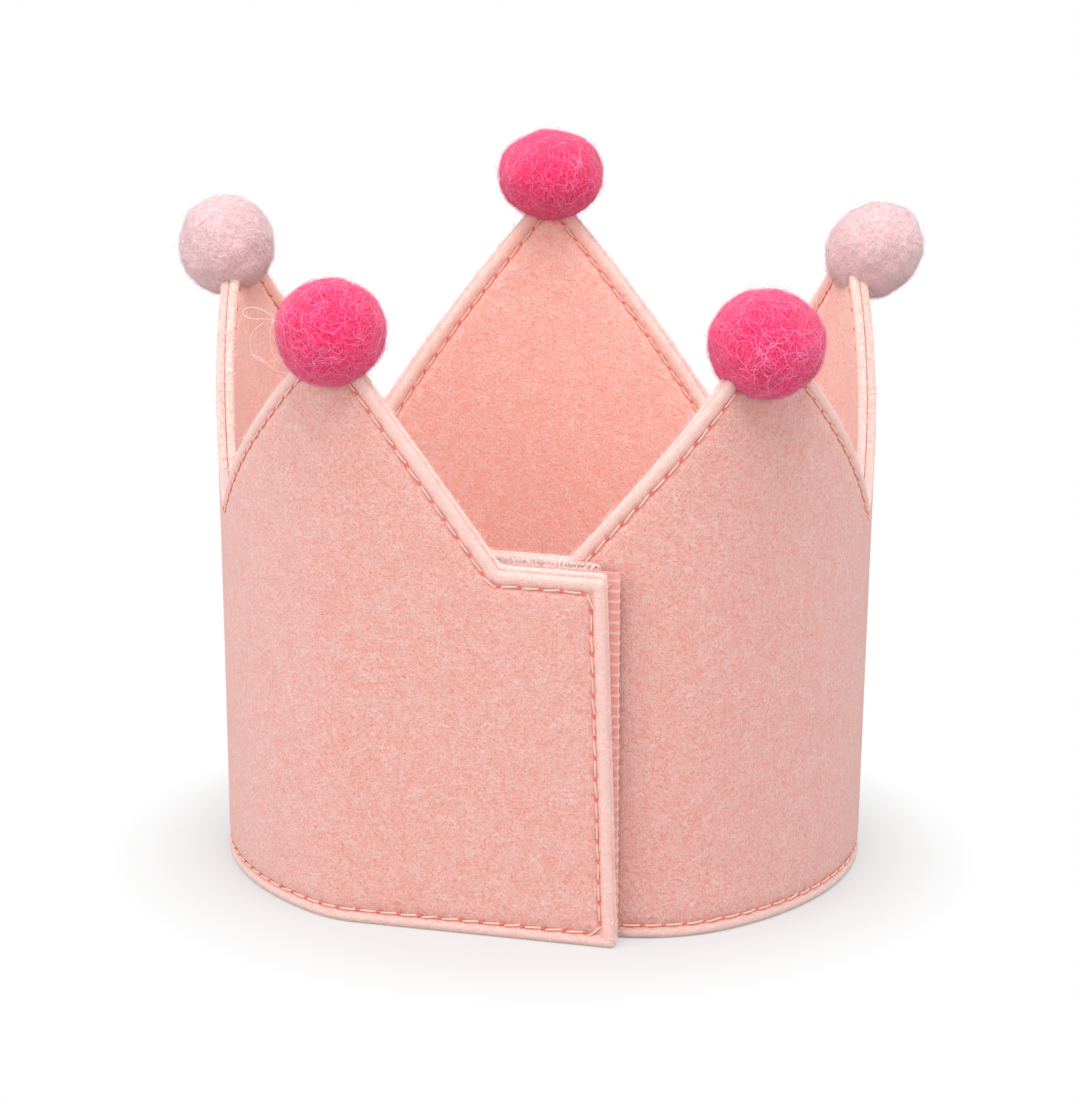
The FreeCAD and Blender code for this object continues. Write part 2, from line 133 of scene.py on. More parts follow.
def bend_flat(flat, depth):
    """Points of the flat pattern (along, up) at a depth below the outer face, bent."""
    flat = np.asarray(flat, dtype=float)
    depth = np.broadcast_to(np.asarray(depth, dtype=float), (len(flat),))
    along, up = flat[:, 0], flat[:, 1]
    lean = np.zeros(len(flat))
    for tip, full in ((tips[1], RIGHT_LEAN), (tips[3], LEFT_LEAN)):
        distance = np.clip(np.abs(along - tip) / (pitch / 2), 0, 1)
        lean += full * (1 + np.cos(np.pi * distance)) / 2
    out = FLARE * up + lean * (up / WALL_TOP) ** 2 - depth
    bent = np.zeros((len(flat), 3))
    facing = np.zeros((len(flat), 3))
    begun = 0.0
    path = ring_path()
    for number, (kind, place, radius, first, last, run) in enumerate(path):
        length = run if kind == "straight" else radius * (last - first)
        low = -1e9 if number == 0 else begun
        high = 1e9 if number == len(path) - 1 else begun + length
        here = (along >= low) & (along < high)
        share = (along[here] - begun) / length
        angle = first + (last - first) * share
        face = np.stack([np.sin(angle), -np.cos(angle)], axis=1)
        if kind == "straight":
            base = place + onward(first) * (along[here] - begun)[:, None]
        else:
            base = place + face * radius
        bent[here, :2] = base + face * out[here, None]
        facing[here, :2] = face
        begun += length
    bent[:, 2] = up
    return (bent + RING_MIDDLE) * MM, facing


ring_back = bend_flat([[tips[2], 0.0]], [0.0])[0][0]
print("the back of the ring at the table:", ring_back.round(4))


def linked(name, data):
    """A new object of a mesh, curve, light or camera, in the scene."""
    made = bpy.data.objects.new(name, data)
    bpy.context.collection.objects.link(made)
    return made


def plain_mesh(name, places, edges, faces):
    mesh = bpy.data.meshes.new(name)
    mesh.from_pydata(places.tolist(), edges, faces)
    return mesh

# %% [markdown]
# ## The flat pattern
#
# The pattern is straight cuts between corners, with a small round where the scissors
# turn and a larger round at each tip. The same corners, moved inward, give the line of
# the topstitching, so the seam keeps its distance from the edge as a presser foot does.

# %% Corners, rounds and the line of the seam
CUT_ROUND = 0.8
SEAM_ROUND, SEAM_STEP = 2.0, 0.4


def sharp_corners(flap_top):
    """The pattern's corners, and for each tip the sharp point its round is cut from."""
    corners = [(0, 0), (0, UNDER_TOP), (UNDER_TAB, UNDER_TOP), ("tip", 0),
               (tips[0] + OUTER_REACH, VALLEY), ("tip", 1), ((tips[1] + tips[2]) / 2, VALLEY),
               ("tip", 2), ((tips[2] + tips[3]) / 2, VALLEY), ("tip", 3),
               (tips[4] - OUTER_REACH, VALLEY), ("tip", 4), (UNDER_TAB + FELT_RUN, flap_top),
               (UNDER_TAB + FELT_RUN + FLAP, flap_top),
               (UNDER_TAB + FELT_RUN + FLAP + END_SLANT, 0)]
    sharp, rounds = [], []
    for number, corner in enumerate(corners):
        if corner[0] != "tip":
            sharp.append(np.array(corner, dtype=float))
            rounds.append(CUT_ROUND)
            continue
        centre = np.array([tips[corner[1]], TIP_TOPS[corner[1]] - TIP_ROUND])
        before = np.array(corners[number - 1], dtype=float)
        after = np.array(corners[number + 1], dtype=float)
        headings = []
        for start, side in ((before, 1), (after, -1)):
            reach = centre - start
            turn = math.asin(TIP_ROUND / np.hypot(*reach))
            heading = math.atan2(reach[1], reach[0]) + side * turn
            headings.append(np.array([math.cos(heading), math.sin(heading)]))
        lengths = np.linalg.solve(np.stack([headings[0], -headings[1]], axis=1), after - before)
        sharp.append(before + headings[0] * lengths[0])
        rounds.append(TIP_ROUND)
    return np.array(sharp), rounds


def moved_in(corners, distance):
    """The corners after every cut is moved inward by the same distance."""
    count = len(corners)
    moved = []
    for number in range(count):
        before = corners[number] - corners[number - 1]
        after = corners[(number + 1) % count] - corners[number]
        before, after = before / np.hypot(*before), after / np.hypot(*after)
        inward = np.array([before[1], -before[0]]) + np.array([after[1], -after[0]])
        inward /= np.hypot(*inward)
        moved.append(corners[number] + inward * distance / (inward @ [after[1], -after[0]]))
    return np.array(moved)


def rounded(corners, rounds, step):
    """The closed line through the corners, each cut off by its round."""
    points = []
    count = len(corners)
    for number in range(count):
        corner = corners[number]
        back = corners[number - 1] - corner
        ahead = corners[(number + 1) % count] - corner
        back, ahead = back / np.hypot(*back), ahead / np.hypot(*ahead)
        half = math.acos(np.clip(back @ ahead, -1, 1)) / 2
        reach = rounds[number] / math.tan(half)
        middle = (back + ahead) / np.hypot(*(back + ahead))
        centre = corner + middle * rounds[number] / math.sin(half)
        start, end = corner + back * reach - centre, corner + ahead * reach - centre
        sweep = math.pi - 2 * half
        turns = max(3, int(rounds[number] * sweep / step) + 1)
        side = np.sign(start[0] * end[1] - start[1] * end[0])
        for part in range(turns + 1):
            angle = side * sweep * part / turns
            rotation = np.array([[math.cos(angle), -math.sin(angle)],
                                 [math.sin(angle), math.cos(angle)]])
            points.append(centre + rotation @ start)
    line = []
    for number, point in enumerate(points):
        following = points[(number + 1) % len(points)]
        steps = max(1, int(np.hypot(*(following - point)) / step))
        for part in range(steps):
            line.append(point + (following - point) * part / steps)
    return np.array(line)


OUTER_CORNERS, ROUNDS = sharp_corners(FLAP_TOP)
LINING_CORNERS, _ = sharp_corners(FLAP_TOP + LINING_RISE)
seam_flat = rounded(moved_in(OUTER_CORNERS, SEAM_INSET), [SEAM_ROUND] * len(ROUNDS), SEAM_STEP)
seam_length = np.hypot(*(np.roll(seam_flat, -1, axis=0) - seam_flat).T).sum()
print("seam: %.0f mm long, %d points" % (seam_length, len(seam_flat)))

# %% [markdown]
# ## A layer of felt with a sewn edge
#
# Felt is thick and soft. Where the seam pulls the two layers together the faces dip
# into a groove, and the strip left outside it swells into a soft rim. A solidified
# plane could not show that, so each layer is a fine mesh of its flat pattern whose
# depth follows the distance from the edge, and the hidden face is kept coarse.

# %% Distances on the flat pattern
def distance_to_line(points, line):
    """From each point to the nearest place on a closed line of a few hundred points."""
    nearest = np.full(len(points), 1e9)
    for start, end in zip(line, np.roll(line, -1, axis=0)):
        run = end - start
        share = np.clip((points - start) @ run / (run @ run), 0, 1)
        gap = points - start - share[:, None] * run
        nearest = np.minimum(nearest, np.hypot(gap[:, 0], gap[:, 1]))
    return nearest


def needle_holes():
    """The places of the needle holes along the seam, one stitch apart."""
    closed = np.vstack([seam_flat, seam_flat[:1]])
    travelled = np.concatenate([[0], np.cumsum(np.hypot(*(closed[1:] - closed[:-1]).T))])
    count = round(travelled[-1] / STITCH)
    places = np.arange(count) * travelled[-1] / count
    return np.stack([np.interp(places, travelled, closed[:, axis]) for axis in (0, 1)], axis=1)


HOLES = needle_holes()
print("stitches:", len(HOLES))

# %% The depth of the felt's face near its edge
FAR = 9.0
PULLED = 4.0
BATCH = 4000
HOLE_DEPTH, HOLE_WIDTH = 0.22, 0.75
EDGE_DEPTH = np.array([
    (0.0, 0.62), (0.1, 0.36), (0.25, 0.17), (0.5, 0.02), (0.8, -0.05), (1.2, -0.05),
    (1.6, 0.02), (1.95, 0.12), (2.25, 0.27), (2.5, 0.34), (2.75, 0.29), (3.1, 0.18),
    (3.6, 0.08), (4.3, 0.02), (5.2, 0.0)])


def face_depth(flat, distance):
    """How far the visible face lies below the felt's full thickness."""
    depth = np.interp(distance, EDGE_DEPTH[:, 0], EDGE_DEPTH[:, 1])
    close = np.full(len(flat), FAR)
    spots = np.flatnonzero(distance < PULLED)
    for start in range(0, len(spots), BATCH):
        chosen = spots[start:start + BATCH]
        gap = flat[chosen, None, :] - HOLES[None, :, :]
        close[chosen] = np.sqrt((gap ** 2).sum(axis=2)).min(axis=1)
    return depth + HOLE_DEPTH * np.exp(-(close / HOLE_WIDTH) ** 2)


# %% Points inside a line, and the grids that fill it
def inside_line(points, line):
    """Whether each point lies inside a closed line."""
    crossings = np.zeros(len(points), dtype=int)
    for start, end in zip(line, np.roll(line, -1, axis=0)):
        spans = (start[1] > points[:, 1]) != (end[1] > points[:, 1])
        rise = end[1] - start[1] if end[1] != start[1] else 1e-12
        across = start[0] + (points[:, 1] - start[1]) * (end[0] - start[0]) / rise
        crossings += spans & (points[:, 0] < across)
    return crossings % 2 == 1


GRID_LENGTH, GRID_HEIGHT = 391, 109


def grid_points(first, step_along, step_up):
    """Even rows of points over the whole flat pattern."""
    grid = np.stack(np.meshgrid(np.arange(first, GRID_LENGTH, step_along),
                                np.arange(first, GRID_HEIGHT, step_up)), axis=-1)
    return grid.reshape(-1, 2)


# %% The three parts of a layer
ROWS = [0.12, 0.3, 0.55, 0.85, 1.2, 1.6, 1.95, 2.25, 2.5, 2.75, 3.1, 3.6, 4.3, 5.2]
CELL = 1.7
EDGE_STEP, COARSE_STEP = 0.6, 40.0
CLEAR_OF_ROWS = 6.0
CLOSEST, SLACK = 0.22, 0.03
BACK_STEPS, BACK_CLEAR, BACK_GAP = (4.0, 5.0), 2.0, 0.02
STRIP = [(0.0, 0.9), (0.02, 1.15), (0.1, 1.38), (0.28, 1.52), (0.6, 1.58)]


def visible_face(edge, inward, coarse):
    """Points and triangles of the face that is seen, and its edge's point numbers."""
    points = np.vstack([edge + inward * row for row in ROWS])
    wanted = np.repeat(ROWS, len(edge))
    grid = grid_points(1, CELL, CELL)
    grid[:, 0] += CELL / 2 * (np.round(grid[:, 1] / CELL) % 2)
    points = np.vstack([points, grid])
    wanted = np.concatenate([wanted, np.full(len(grid), CLEAR_OF_ROWS)])
    real = distance_to_line(points, coarse)
    points = points[inside_line(points, coarse) & (real > wanted - SLACK)]
    _, first = np.unique((points / CLOSEST).round(), axis=0, return_index=True)
    flat = np.vstack([edge, points[np.sort(first)]])
    loop = list(range(len(edge)))
    found = delaunay_2d_cdt([Vector(point) for point in flat], [], [loop[::-1]], 1, 1e-4)
    flat = np.array([tuple(point) for point in found[0]])
    triangles = np.array([list(face) for face in found[2]])
    corner = flat[triangles]
    turn = np.cross(corner[:, 1] - corner[:, 0], corner[:, 2] - corner[:, 0])
    triangles[turn < 0] = triangles[turn < 0][:, ::-1]
    numbers = [0] * len(edge)
    for number, sources in enumerate(found[3]):
        for source in sources:
            if source < len(edge):
                numbers[source] = number
    return flat, [tuple(face) for face in triangles], numbers


def edge_quads(rings):
    """The faces of the cut edge, between its rings of points."""
    quads = []
    for upper, lower in zip(rings, rings[1:]):
        for here in range(len(upper)):
            after = (here + 1) % len(upper)
            quads.append((upper[here], upper[after], lower[after], lower[here]))
    return quads


def hidden_face(all_flat, last, spare):
    """Coarse triangles that close the layer behind, from its last ring of points."""
    back = delaunay_2d_cdt([Vector(all_flat[number]) for number in last]
                           + [Vector(point) for point in spare], [],
                           [list(range(len(last)))[::-1]], 1, 1e-5)
    numbers = last + list(range(len(all_flat), len(all_flat) + len(spare)))
    all_flat = np.vstack([all_flat, spare])
    faces = []
    for face in back[2]:
        a, b, c = [numbers[back[3][vertex][0]] for vertex in face]
        side = np.cross(all_flat[b] - all_flat[a], all_flat[c] - all_flat[a])
        faces.append((a, c, b) if side > 0 else (a, b, c))
    return all_flat, faces


# %% Build one layer
def felt_layer(name, corners, rounds, outside):
    """One closed layer: visible face, soft cut edge and plain hidden face."""
    edge = rounded(corners, rounds, EDGE_STEP)
    coarse = rounded(corners, rounds, COARSE_STEP)
    count = len(edge)
    ahead = np.roll(edge, -1, axis=0) - np.roll(edge, 1, axis=0)
    ahead /= np.hypot(*ahead.T)[:, None]
    inward = np.stack([ahead[:, 1], -ahead[:, 0]], axis=1)
    flat, triangles, edge_numbers = visible_face(edge, inward, coarse)
    distance = distance_to_line(flat, coarse)
    depth = face_depth(flat, distance)
    spare = grid_points(2, *BACK_STEPS)
    spare = spare[inside_line(spare, coarse)]
    spare = spare[distance_to_line(spare, coarse) > BACK_CLEAR]

    rings = [edge_numbers] + [list(range(len(flat) + count * row, len(flat) + count * (row + 1)))
                              for row in range(len(STRIP))]
    all_flat = np.vstack([flat] + [edge + inward * row for row, _ in STRIP])
    all_flat, back_faces = hidden_face(all_flat, rings[-1], spare)
    strip_rows, strip_depths = np.array(STRIP).T
    all_depth = np.concatenate([depth, np.repeat(strip_depths, count),
                                np.full(len(spare), LAYER - BACK_GAP)])
    edge_distance = np.concatenate([distance, np.repeat(strip_rows, count),
                                    np.full(len(spare), FAR)])

    place, _ = bend_flat(all_flat, all_depth if outside else 2 * LAYER - all_depth)
    faces = triangles + edge_quads(rings) + back_faces
    if not outside:
        faces = [face[::-1] for face in faces]
    mesh = plain_mesh(name, place, [], faces)
    mesh.validate()
    attribute = mesh.attributes.new("edge_distance", "FLOAT", "POINT")
    attribute.data.foreach_set("value", edge_distance.astype(np.float32))
    mesh.shade_smooth()
    print("%s: %d faces" % (name, len(mesh.polygons)))
    return linked(name, mesh)


outer = felt_layer("felt_outside", OUTER_CORNERS, ROUNDS, True)
lining = felt_layer("felt_lining", LINING_CORNERS, ROUNDS, False)

# %% [markdown]
# ## Felt, as a material
#
# Craft felt is a mat of short fibres in slightly different pinks, so seen close it is
# mottled, matt and a little fuzzy. Two noises give the mottle, a strongly distorted
# wave gives the lines of single fibres, and a soft sheen stands for the fuzz. The strip
# outside the seam is made paler, and the felt in the needle groove is darkened with
# painted shade, so the colour also follows the distance from the edge.

# %% A helper that adds nodes
def put(tree, socket, value):
    """Joins an input to another node's output, or sets it to a plain value."""
    if isinstance(value, bpy.types.NodeSocket):
        tree.links.new(value, socket)
    else:
        socket.default_value = value


def add_node(tree, kind, settings=None, **inputs):
    """A node with its inputs by name, or by number where the name starts with _."""
    node = tree.nodes.new(kind)
    for key, value in (settings or {}).items():
        setattr(node, key, value)
    for key, value in inputs.items():
        put(tree, node.inputs[int(key[1:])] if key[0] == "_" else node.inputs[key], value)
    return node


def maths(tree, operation, first, second=0.0):
    return add_node(tree, "ShaderNodeMath", {"operation": operation}, _0=first,
                    _1=second).outputs[0]


# %% A helper for building materials from named steps
def linear(red, green, blue):
    """A colour given as it looks on a screen, 0 to 255, as the light it reflects."""
    return tuple(((value / 255 + 0.055) / 1.055) ** 2.4 if value > 10 else value / 3295
                 for value in (red, green, blue)) + (1.0,)


class Recipe:
    """A material under construction: each call adds one node and joins its inputs."""

    def __init__(self, name):
        self.material = bpy.data.materials.new(name)
        self.material.use_nodes = True
        self.tree = self.material.node_tree
        self.shader = self.tree.nodes["Principled BSDF"]
        self.place = self.tree.nodes.new("ShaderNodeTexCoord").outputs["Object"]

    def node(self, kind, settings=None, **inputs):
        return add_node(self.tree, kind, settings, **inputs)

    def join(self, socket, value):
        put(self.tree, socket, value)

    def finish(self, colour, normal=None):
        """Gives the surface its colour and its fine relief."""
        self.join(self.shader.inputs["Base Color"], colour)
        if normal is not None:
            self.join(self.shader.inputs["Normal"], normal)

    def noise(self, scale, detail=3.0, distortion=0.0, roughness=0.55):
        return self.node("ShaderNodeTexNoise", Vector=self.place, Scale=scale, Detail=detail,
                         Distortion=distortion, Roughness=roughness).outputs["Fac"]

    def bands(self, way, scale, distortion, detail_scale):
        """Lines bent so strongly that they read as single fibres."""
        return self.node("ShaderNodeTexWave", {"wave_type": "BANDS", "bands_direction": way},
                         Vector=self.place, Scale=scale, Distortion=distortion, Detail=3.0,
                         **{"Detail Scale": detail_scale}).outputs["Fac"]

    def attribute(self, name):
        return self.node("ShaderNodeAttribute", {"attribute_name": name}).outputs["Fac"]

    def ramp(self, value, low, high, to_low=0.0, to_high=1.0):
        return self.node("ShaderNodeMapRange", _0=value, _1=low, _2=high, _3=to_low,
                         _4=to_high).outputs[0]

    def mix(self, share, first, second):
        return self.node("ShaderNodeMix", {"data_type": "RGBA"}, _0=share, _6=first,
                         _7=second).outputs[2]

    def maths(self, operation, first, second=0.0):
        return maths(self.tree, operation, first, second)

    def bump(self, height, strength, distance, normal=None):
        node = self.node("ShaderNodeBump", Strength=strength, Distance=distance, Height=height)
        if normal is not None:
            self.join(node.inputs["Normal"], normal)
        return node.outputs[0]

    def shine(self, roughness, sheen=0.0, sheen_roughness=0.5, specular=0.3):
        for title, value in (("Roughness", roughness), ("Sheen Weight", sheen),
                             ("Sheen Roughness", sheen_roughness),
                             ("Specular IOR Level", specular)):
            self.shader.inputs[title].default_value = value

    def glow(self, weight, depth):
        """Light that enters the fibres and comes out redder a little way off."""
        self.shader.inputs["Subsurface Weight"].default_value = weight
        self.shader.inputs["Subsurface Radius"].default_value = (1.0, 0.4, 0.3)
        self.shader.inputs["Subsurface Scale"].default_value = depth


# %% The felt
RIM_FADE = (2.35, 1.5)
GROOVE_SHADE_FADE = (0.62, 0.1)
RIM_SHARE, GROOVE_SHADE_SHARE = 0.58, 0.18


def felt_material(name, body, fibre, deep, rim):
    felt = Recipe(name)
    fine = felt.noise(1700.0, 5.0, 0.8, 0.68)
    blotch = felt.noise(420.0, 3.0, 0.8)
    strands = felt.bands("DIAGONAL", 330.0, 26.0, 2.2)
    colour = felt.mix(felt.ramp(fine, 0.34, 0.62), deep, body)
    colour = felt.mix(felt.ramp(strands, 0.55, 1.0, 0.0, 0.42), colour, fibre)
    colour = felt.mix(felt.ramp(blotch, 0.35, 0.7, 0.35, 0.0), colour, deep)
    from_edge = felt.attribute("edge_distance")
    on_rim = felt.ramp(from_edge, *RIM_FADE)
    colour = felt.mix(felt.maths("MULTIPLY", on_rim, RIM_SHARE), colour, rim)
    # painted shade: the felt beside the seam line is pulled towards the deep colour, for the
    # shade in the needle groove
    beside_seam = felt.maths("ABSOLUTE", felt.maths("SUBTRACT", from_edge, SEAM_INSET))
    groove_shade = felt.ramp(beside_seam, *GROOVE_SHADE_FADE)
    colour = felt.mix(felt.maths("MULTIPLY", groove_shade, GROOVE_SHADE_SHARE), colour, deep)
    felt.shine(0.95, sheen=0.25, sheen_roughness=0.6, specular=0.15)
    felt.glow(0.35, 0.0018)
    coarse_bump = felt.bump(blotch, 0.35, 0.0006)
    fibre_bump = felt.bump(strands, 0.35, 0.00025, coarse_bump)
    felt.finish(colour, felt.bump(fine, 0.6, 0.0003, fibre_bump))
    return felt.material


pink_felt = felt_material("pink_felt", linear(228, 191, 183), linear(237, 214, 208),
                          linear(224, 137, 125), linear(243, 211, 205))
# The lining is given a lighter felt than the outside: partly painted light, for the light that
# comes through the felt and bounces inside the ring, and partly the lining's own tone.
lining_felt = felt_material("lining_felt", linear(252, 214, 204), linear(253, 228, 220),
                            linear(249, 160, 144), linear(245, 210, 203))
outer.data.materials.append(pink_felt)
lining.data.materials.append(lining_felt)


def flat_area(corners):
    """The area of one layer as it lies on the cutting table, in square metres."""
    line = rounded(corners, ROUNDS, EDGE_STEP)
    across, up = line[:, 0], line[:, 1]
    return abs(across @ np.roll(up, -1) - up @ np.roll(across, -1)) / 2 * MM * MM


for piece, node, slot, corners in ((outer, "outer_felt", "pink_felt", OUTER_CORNERS),
                                   (lining, "inner_felt", "lining_felt", LINING_CORNERS)):
    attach(piece, "root")
    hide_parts(node)
    print("%s: %.1f cm2 of felt" % (piece.name, flat_area(corners) * 1e4))

# %% [markdown]
# ## The topstitching
#
# The seam is one lockstitch line that follows the edge all round, about 3.8 mm to the
# stitch. Stitches repeat along a path, so Geometry Nodes lay them: a guide line in the
# groove is cut into even lengths, a bowed bit of thread is set between every two
# needle holes, and a short tight dash where the thread goes down. The dash is partly
# the thread and the pressed felt in the hole, and partly painted shade of the hole.
# One tree makes both, on the outside and on the lining, with its sizes as inputs.

# %% Helpers for the two trees
def new_tree(name, base, floats, integers, stuff, result):
    """A tree with its sockets; returns it, its node adder and its inputs."""
    tree = bpy.data.node_groups.new(name, "GeometryNodeTree")
    sockets = [(base, "Geometry", None)] + [(title, "Float", value) for title, value in floats]
    sockets += [(title, "Int", value) for title, value in integers] + [(stuff, "Material", None)]
    for title, kind, value in sockets:
        made = tree.interface.new_socket(title, in_out="INPUT", socket_type="NodeSocket" + kind)
        if value is not None:
            made.default_value = value
    tree.interface.new_socket(result, in_out="OUTPUT", socket_type="NodeSocketGeometry")
    return tree, partial(add_node, tree), add_node(tree, "NodeGroupInput").outputs


def random_between(tree, low, high, seed):
    return add_node(tree, "FunctionNodeRandomValue", {"data_type": "FLOAT"}, _2=low, _3=high,
                    Seed=seed).outputs[1]


def turned_by(tree, rotation, axis, angle):
    """A rotation with one more turn about an axis of its own."""
    turn = add_node(tree, "ShaderNodeCombineXYZ", **{axis: angle}).outputs[0]
    return add_node(tree, "FunctionNodeRotateRotation", {"rotation_space": "LOCAL"},
                    **{"Rotation": rotation, "Rotate By": turn}).outputs[0]


def close_tree(tree, laid, stuff):
    """Makes the laid copies real, gives them their material and ends the tree."""
    real = add_node(tree, "GeometryNodeRealizeInstances", Geometry=laid.outputs[0])
    finished = add_node(tree, "GeometryNodeSetMaterial", Geometry=real.outputs[0],
                        Material=stuff)
    tree.links.new(finished.outputs[0], add_node(tree, "NodeGroupOutput").inputs[0])
    return tree


# %% The tree that lays stitches
def stitch_tree():
    tree, add, given = new_tree(
        "stitches_along_a_line", "Guide",
        (("Half pitch", 0.0019), ("Length", 0.0034), ("Rise", 0.0003), ("Radius", 0.0003),
         ("Slant", 0.0), ("Jitter", 0.05)), (("Phase", 0), ("Seed", 1)), "Thread", "Stitches")
    line = add("GeometryNodeMeshToCurve", Mesh=given["Guide"])
    steps = add("GeometryNodeResampleCurve", {"mode": "LENGTH"}, Curve=line.outputs[0],
                Length=given["Half pitch"])
    number = add("GeometryNodeInputIndex").outputs[0]
    odd = maths(tree, "MODULO", number, 2.0)
    chosen = add("FunctionNodeCompare", {"data_type": "FLOAT", "operation": "EQUAL"}, A=odd,
                 B=given["Phase"])
    half = maths(tree, "MULTIPLY", given["Length"], 0.5)
    start = add("ShaderNodeCombineXYZ", X=maths(tree, "MULTIPLY", half, -1.0))
    middle = add("ShaderNodeCombineXYZ", Z=given["Rise"])
    end = add("ShaderNodeCombineXYZ", X=half)
    bow = add("GeometryNodeCurveQuadraticBezier", Resolution=6, Start=start.outputs[0],
              Middle=middle.outputs[0], End=end.outputs[0])
    ring = add("GeometryNodeCurvePrimitiveCircle", Resolution=6, Radius=given["Radius"])
    bit = add("GeometryNodeCurveToMesh", **{"Curve": bow.outputs[0],
                                            "Profile Curve": ring.outputs[0], "Fill Caps": True})
    smooth = add("GeometryNodeSetShadeSmooth", Geometry=bit.outputs[0])
    tangent = add("GeometryNodeInputTangent").outputs[0]
    facing = add("GeometryNodeInputNamedAttribute", {"data_type": "FLOAT_VECTOR"},
                 Name="facing").outputs[0]
    run = add("FunctionNodeAlignRotationToVector", {"axis": "X"}, Vector=tangent)
    upright = add("FunctionNodeAlignRotationToVector", {"axis": "Z", "pivot_axis": "X"},
                  Rotation=run.outputs[0], Vector=facing)
    wobble = random_between(tree, maths(tree, "MULTIPLY", given["Jitter"], -1.0),
                            given["Jitter"], given["Seed"])
    turned = turned_by(tree, upright.outputs[0], "Z", maths(tree, "ADD", wobble, given["Slant"]))
    laid = add("GeometryNodeInstanceOnPoints", Points=steps.outputs[0],
               Selection=chosen.outputs[0], Instance=smooth.outputs[0], Rotation=turned)
    return close_tree(tree, laid, given["Thread"])


# %% Turning a tree's result into a plain piece
def grown(name, base, tree, settings):
    """A piece of what a tree grows on a base object, which stays as it is."""
    modifier = base.modifiers.new("grow", "NODES")
    modifier.node_group = tree
    for item in tree.interface.items_tree:
        if item.item_type == "SOCKET" and item.in_out == "INPUT" and item.name in settings:
            modifier[item.identifier] = settings[item.name]
    base.update_tag()
    bpy.context.view_layer.update()
    seen = base.evaluated_get(bpy.context.evaluated_depsgraph_get())
    mesh = bpy.data.meshes.new_from_object(seen)
    mesh.name = name
    base.modifiers.remove(modifier)
    mesh.calc_loop_triangles()
    print("%s: %d triangles" % (name, len(mesh.loop_triangles)))
    return linked(name, mesh)


def guide_line(name, flat, depth, inside=False):
    """A closed line of the flat pattern, bent, with the way it faces at each point."""
    place, facing = bend_flat(flat, depth)
    count = len(place)
    mesh = plain_mesh(name, place, [(n, (n + 1) % count) for n in range(count)], [])
    attribute = mesh.attributes.new("facing", "FLOAT_VECTOR", "POINT")
    attribute.data.foreach_set("vector", (-facing if inside else facing).ravel())
    return linked(name, mesh)


def thread_material(name, light, dark):
    thread = Recipe(name)
    twist = thread.noise(2400.0, 2.0, 1.0)
    thread.finish(thread.mix(thread.ramp(twist, 0.35, 0.65), dark, light),
                  thread.bump(twist, 0.5, 0.0001))
    thread.shine(0.6, sheen=0.1)
    return thread.material


# %% Lay the stitches on both faces
peach_thread = thread_material("peach_thread", linear(250, 200, 180), linear(246, 176, 156))
# The dashes at the needle holes are partly coral thread and pressed felt, and partly painted
# shade of the holes.
dash_thread_and_shade = thread_material("coral_thread_and_hole_shade", linear(240, 122, 104), linear(230, 96, 84))
stitches = stitch_tree()
SHORTENED = 0.9995
THREAD_DEPTH = 0.32
half_pitch = seam_length / len(HOLES) / 2 * MM * SHORTENED
for side, depth, inside in (("outside", THREAD_DEPTH, False),
                            ("lining", 2 * LAYER - THREAD_DEPTH, True)):
    for kind, phase, length, rise, radius, slant, jitter, stuff in (
            ("threads", 1, 2.9, 0.3, 0.18, 0.05, 0.08, peach_thread),
            ("dashes", 0, 0.85, 0.12, 0.19, 0.42, 0.15, dash_thread_and_shade)):
        guide = guide_line("guide", seam_flat, depth, inside)
        piece = grown("seam_%s_%s" % (kind, side), guide, stitches, {
            "Half pitch": half_pitch, "Length": length * MM, "Rise": rise * MM,
            "Radius": radius * MM, "Slant": slant, "Jitter": jitter, "Phase": phase,
            "Seed": 5, "Thread": stuff})
        bpy.data.objects.remove(guide)
        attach(piece, "root")

# %% [markdown]
# ## The wool balls
#
# A needle-felted ball is a tight clump of wool: nearly round, with shallow dents where
# the needle went in and loose fibres wandering over it. The ball itself is a finely
# divided sphere pressed to its size and dented by noise. The fibres are some two
# thousand thin arcs that hug the ball and a thinner halo of looser ones, so Geometry
# Nodes scatter them with a fixed seed.

# %% The ball's own form
# tip, rise, how far proud, width, height, turn in the wall, lean outward, seed
BALLS = {
    "back": (2, 4.0, 0.0, 20.0, 16.9, 0.0, 0.0, 21),
    "front_left": (4, 1.0, 0.0, 19.3, 18.8, 0.0, 0.0, 22),
    "front_right": (0, -2.6, 0.6, 20.5, 19.1, 0.0, 0.0, 23),
    "left": (3, -1.2, 2.4, 17.4, 18.6, -8.0, 0.0, 24),
    "right": (1, -1.2, 4.6, 16.6, 19.6, 32.0, 36.0, 25),
}
DENTS = [((1, 0, 0), 2.2, 0.00035), ((0, 1, 0), 7.0, 0.00014), ((0, 0, 1), 19.0, 0.00006)]
PRESSED = 0.00012


